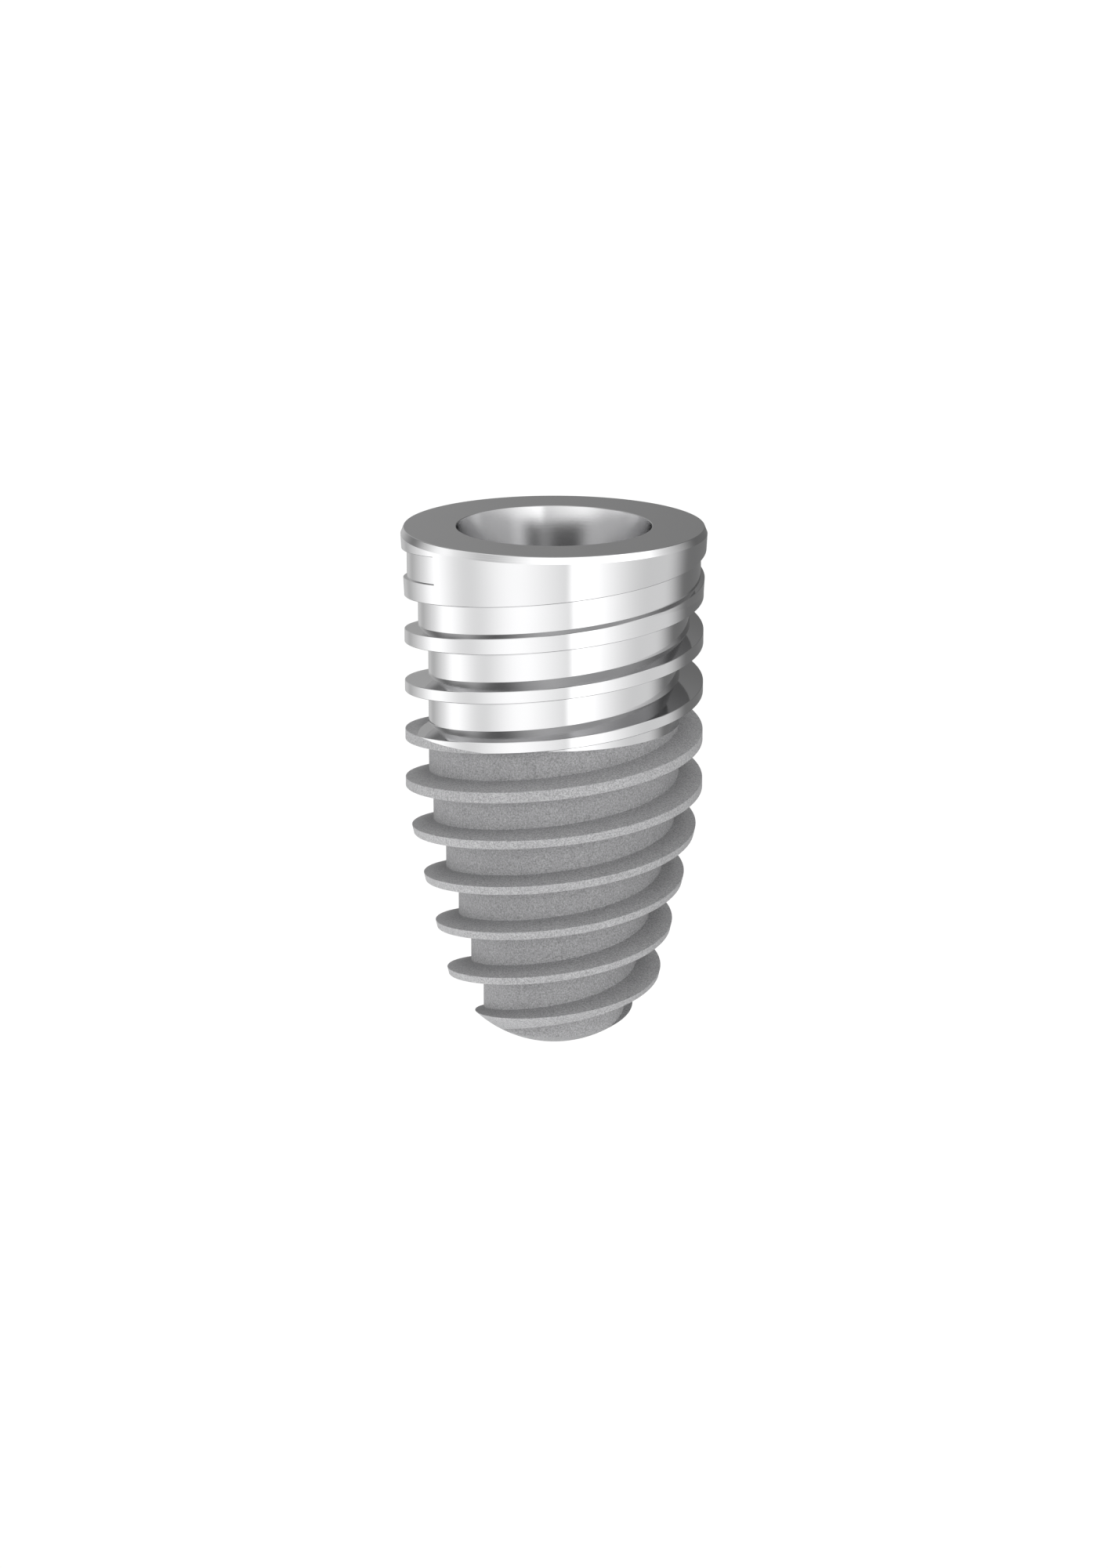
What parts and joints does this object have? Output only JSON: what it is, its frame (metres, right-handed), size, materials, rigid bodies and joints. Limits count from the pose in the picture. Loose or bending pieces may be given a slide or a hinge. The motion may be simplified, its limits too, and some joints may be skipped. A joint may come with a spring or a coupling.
{
  "type": "dental implant",
  "caption": "Tapered dental implant: turned titanium screw with a coarse double-lead thread, polished collar, flat platform, conical top bore with hexagonal index, and a domed tip.",
  "frame": {"origin": "on the implant's axis at bone level, the height where the polished neck ends and the blasted body begins", "axes": "+Z along the axis, from the domed tip to the platform; +X and +Y are square to it, with the hexagonal index's corners along +Y and -Y"},
  "size_m": [0.0048, 0.0048, 0.0085],
  "materials": {
    "titanium": "machined and polished neck, grit-blasted matt body"
  },
  "bodies": {
    "root": {"implant_body": "titanium"}
  },
  "joints": []
}
